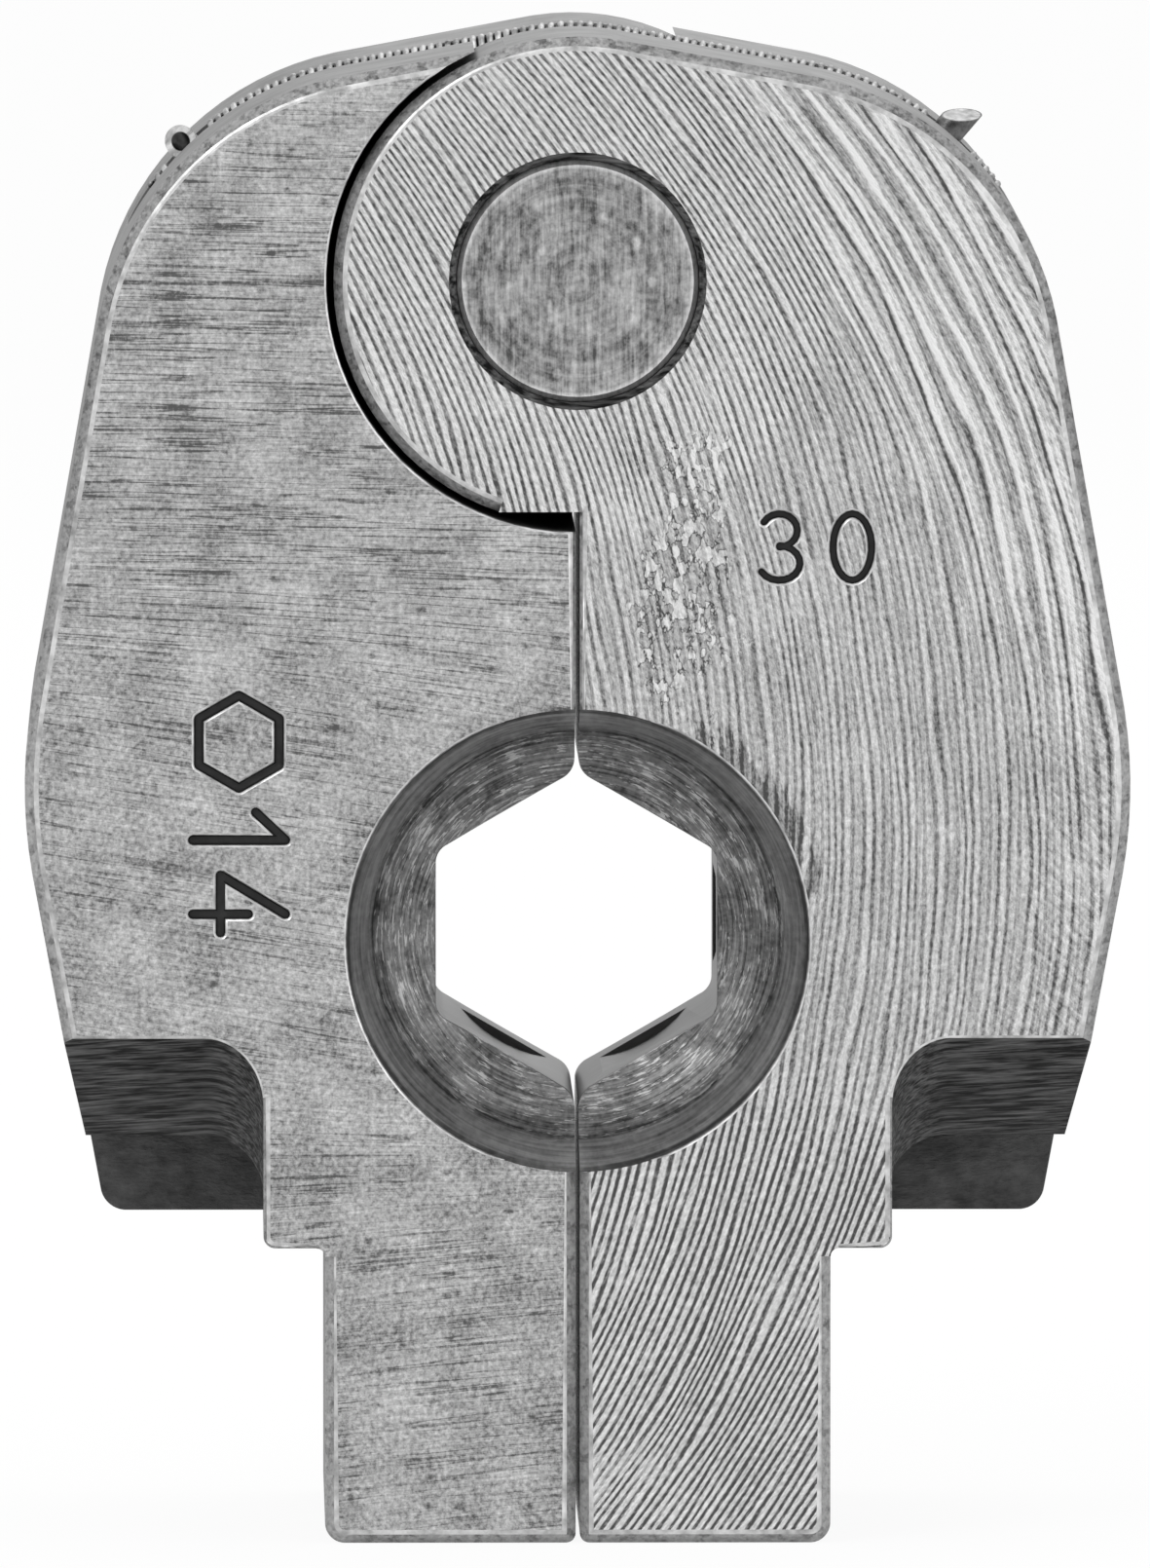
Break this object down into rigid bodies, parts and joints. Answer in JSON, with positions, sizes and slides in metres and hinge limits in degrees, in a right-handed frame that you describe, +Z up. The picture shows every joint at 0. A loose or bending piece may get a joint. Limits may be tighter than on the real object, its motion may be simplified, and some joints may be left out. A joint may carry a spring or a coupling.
{
  "type": "press fitting tool jaw",
  "caption": "Hinged two-half press jaw with a hexagonal die opening, claw notches and an opening spring round its pinned half-lap hinge.",
  "frame": {"origin": "bottom centre of the closed jaw, on the end of its tail", "axes": "+X to the right half, +Y from the front face to the back face, +Z up from the tail to the hinge"},
  "size_m": [0.0548, 0.03, 0.075],
  "materials": {
    "jaw_left_steel": "ground faces with fine scratches, blackened die and notches",
    "jaw_right_steel": "coarsely ground face, blackened die and notches",
    "pin_steel": "turned and brushed",
    "spring_steel": "drawn wire",
    "anchor_steel": "cut pin, dull"
  },
  "bodies": {
    "right_half": {"right_jaw": "jaw_right_steel", "right_anchor_pin": "anchor_steel", "opening_spring": "spring_steel"},
    "left_half": {"left_jaw": "jaw_left_steel", "hinge_pin": "pin_steel", "left_anchor_pin": "anchor_steel"}
  },
  "joints": [
    {"name": "jaw_hinge", "type": "hinge", "parent": "right_half", "child": "left_half", "pos_m": [0, 0, 0.06275], "axis": [0, 1, 0], "range_deg": [0, 30], "stiffness_Nm_per_rad": 0.012, "springref_deg": 30, "deforming": ["opening_spring"]}
  ]
}
